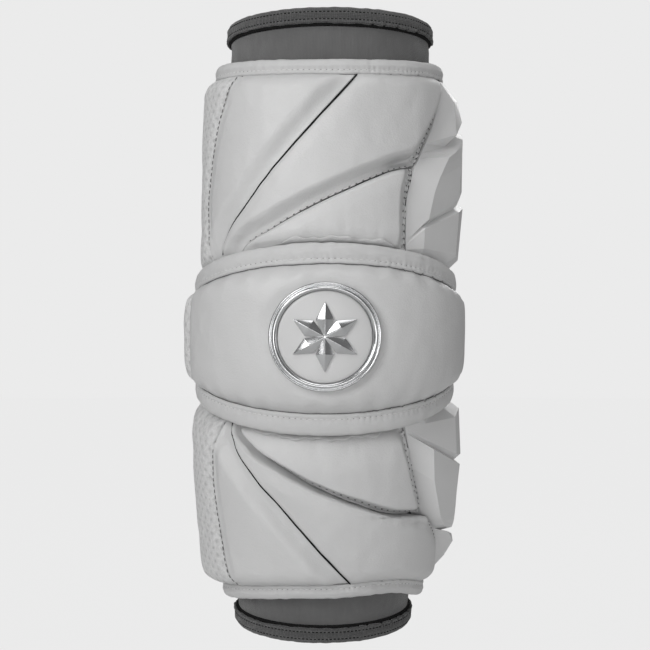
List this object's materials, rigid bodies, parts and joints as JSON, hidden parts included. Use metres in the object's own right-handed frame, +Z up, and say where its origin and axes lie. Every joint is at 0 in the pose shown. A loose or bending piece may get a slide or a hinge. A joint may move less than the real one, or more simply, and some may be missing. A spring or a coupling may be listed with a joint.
{
  "type": "lacrosse arm pad",
  "caption": "Padded sleeve for the elbow and arm, with quilted panels, moulded side guards, a banded elbow cushion and a round medallion, shaped as worn.",
  "frame": {"origin": "centre of the arm hollow at the elbow, on the arm's axis", "axes": "+Z up the arm towards the shoulder, -Y the outer side of the elbow, which carries the medallion, +X the side of the moulded guards"},
  "size_m": [0.1522, 0.1407, 0.3365],
  "materials": {
    "knit": "matte stretch knit",
    "elastic": "matte stitched elastic",
    "coated_cloth": "soft satin coated cloth over foam",
    "perforated_cloth": "matte cloth with small round holes",
    "binding_tape": "matte folded and stitched tape",
    "moulded_foam": "satin moulded foam with flat facets",
    "medallion_face": "fine matte grain",
    "satin_chrome": "satin chrome"
  },
  "bodies": {
    "root": {"sleeve": "knit", "cuff_upper": "elastic", "cuff_lower": "elastic", "upper_panel_outer": "coated_cloth", "upper_panel_middle": "coated_cloth", "upper_panel_inner": "coated_cloth", "upper_gusset": "perforated_cloth", "upper_side_guard": "moulded_foam", "upper_binding": "binding_tape", "lower_panel_outer": "coated_cloth", "lower_panel_middle": "coated_cloth", "lower_panel_inner": "coated_cloth", "lower_gusset": "perforated_cloth", "lower_side_guard": "moulded_foam", "lower_binding": "binding_tape", "elbow_pad": "coated_cloth", "elbow_gusset": "perforated_cloth", "elbow_binding_upper": "binding_tape", "elbow_binding_lower": "binding_tape", "medallion_ring": "satin_chrome", "medallion_disc": "medallion_face", "medallion_rosette": "satin_chrome"}
  },
  "joints": []
}
